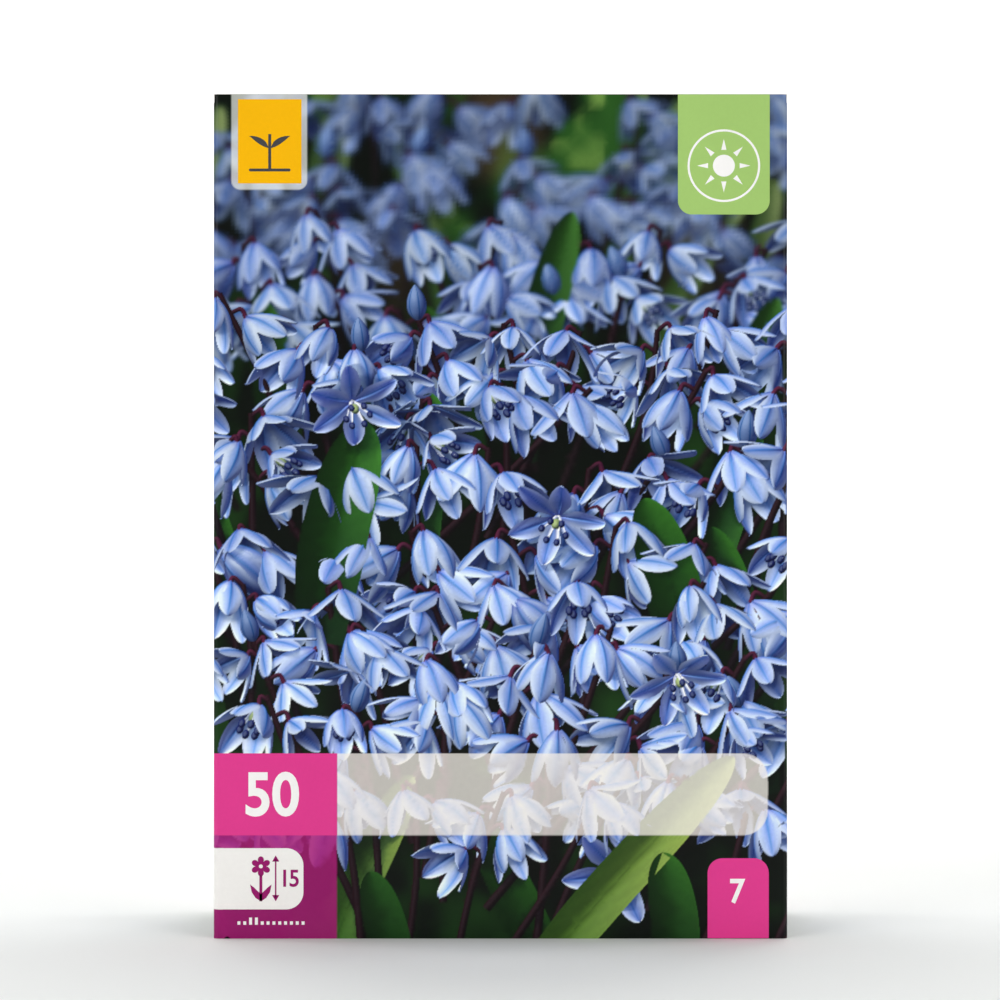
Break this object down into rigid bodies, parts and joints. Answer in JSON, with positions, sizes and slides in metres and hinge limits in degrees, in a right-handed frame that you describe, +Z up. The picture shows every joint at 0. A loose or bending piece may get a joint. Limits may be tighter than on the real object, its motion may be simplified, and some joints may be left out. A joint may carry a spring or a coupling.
{
  "type": "boxed flower bulbs",
  "caption": "Tall printed carton of spring-flowering squill bulbs, with a hinged tuck-in lid and loose bulbs inside.",
  "frame": {"origin": "middle of the base's underside", "axes": "+Z up, along the carton's tallest side; the printed front faces -Y; +X is to the right when looking at the front"},
  "size_m": [0.12, 0.046, 0.1766],
  "materials": {
    "printed_board": "satin",
    "bulb_tunic": "satin"
  },
  "bodies": {
    "box": {"carton": "printed_board", "bulb_01": "bulb_tunic", "bulb_02": "bulb_tunic", "bulb_03": "bulb_tunic", "bulb_04": "bulb_tunic", "bulb_05": "bulb_tunic", "bulb_06": "bulb_tunic", "bulb_07": "bulb_tunic", "bulb_08": "bulb_tunic", "bulb_09": "bulb_tunic", "bulb_10": "bulb_tunic", "bulb_11": "bulb_tunic", "bulb_12": "bulb_tunic", "bulb_13": "bulb_tunic", "bulb_14": "bulb_tunic", "bulb_15": "bulb_tunic", "bulb_16": "bulb_tunic", "bulb_17": "bulb_tunic", "bulb_18": "bulb_tunic", "bulb_19": "bulb_tunic", "bulb_20": "bulb_tunic", "bulb_21": "bulb_tunic", "bulb_22": "bulb_tunic", "bulb_23": "bulb_tunic", "bulb_24": "bulb_tunic", "bulb_25": "bulb_tunic", "bulb_26": "bulb_tunic", "bulb_27": "bulb_tunic", "bulb_28": "bulb_tunic", "bulb_29": "bulb_tunic", "bulb_30": "bulb_tunic", "bulb_31": "bulb_tunic", "bulb_32": "bulb_tunic", "bulb_33": "bulb_tunic", "bulb_34": "bulb_tunic", "bulb_35": "bulb_tunic", "bulb_36": "bulb_tunic", "bulb_37": "bulb_tunic", "bulb_38": "bulb_tunic", "bulb_39": "bulb_tunic", "bulb_40": "bulb_tunic", "bulb_41": "bulb_tunic", "bulb_42": "bulb_tunic", "bulb_43": "bulb_tunic", "bulb_44": "bulb_tunic", "bulb_45": "bulb_tunic", "bulb_46": "bulb_tunic", "bulb_47": "bulb_tunic", "bulb_48": "bulb_tunic", "bulb_49": "bulb_tunic", "bulb_50": "bulb_tunic"},
    "lid": {"lid": "printed_board"},
    "tuck": {"tuck": "printed_board"},
    "dust_left": {"dust_flap_left": "printed_board"},
    "dust_right": {"dust_flap_right": "printed_board"}
  },
  "joints": [
    {"name": "lid_crease", "type": "hinge", "parent": "box", "child": "lid", "pos_m": [0, 0.023, 0.17585], "axis": [-1, 0, 0], "range_deg": [0, 180]},
    {"name": "tuck_crease", "type": "hinge", "parent": "lid", "child": "tuck", "pos_m": [0, -0.0221, 0.17585], "axis": [-1, 0, 0], "range_deg": [0, 54]},
    {"name": "dust_left_crease", "type": "hinge", "parent": "box", "child": "dust_left", "pos_m": [-0.06, 0, 0.17495], "axis": [0, -1, 0], "range_deg": [0, 90]},
    {"name": "dust_right_crease", "type": "hinge", "parent": "box", "child": "dust_right", "pos_m": [0.06, 0, 0.17495], "axis": [0, 1, 0], "range_deg": [0, 90]}
  ],
  "couplings": [
    {"joint": "tuck_crease", "follows": "lid_crease", "ratio": 0.3},
    {"joint": "dust_left_crease", "follows": "lid_crease", "ratio": 0.5},
    {"joint": "dust_right_crease", "follows": "lid_crease", "ratio": 0.5}
  ]
}
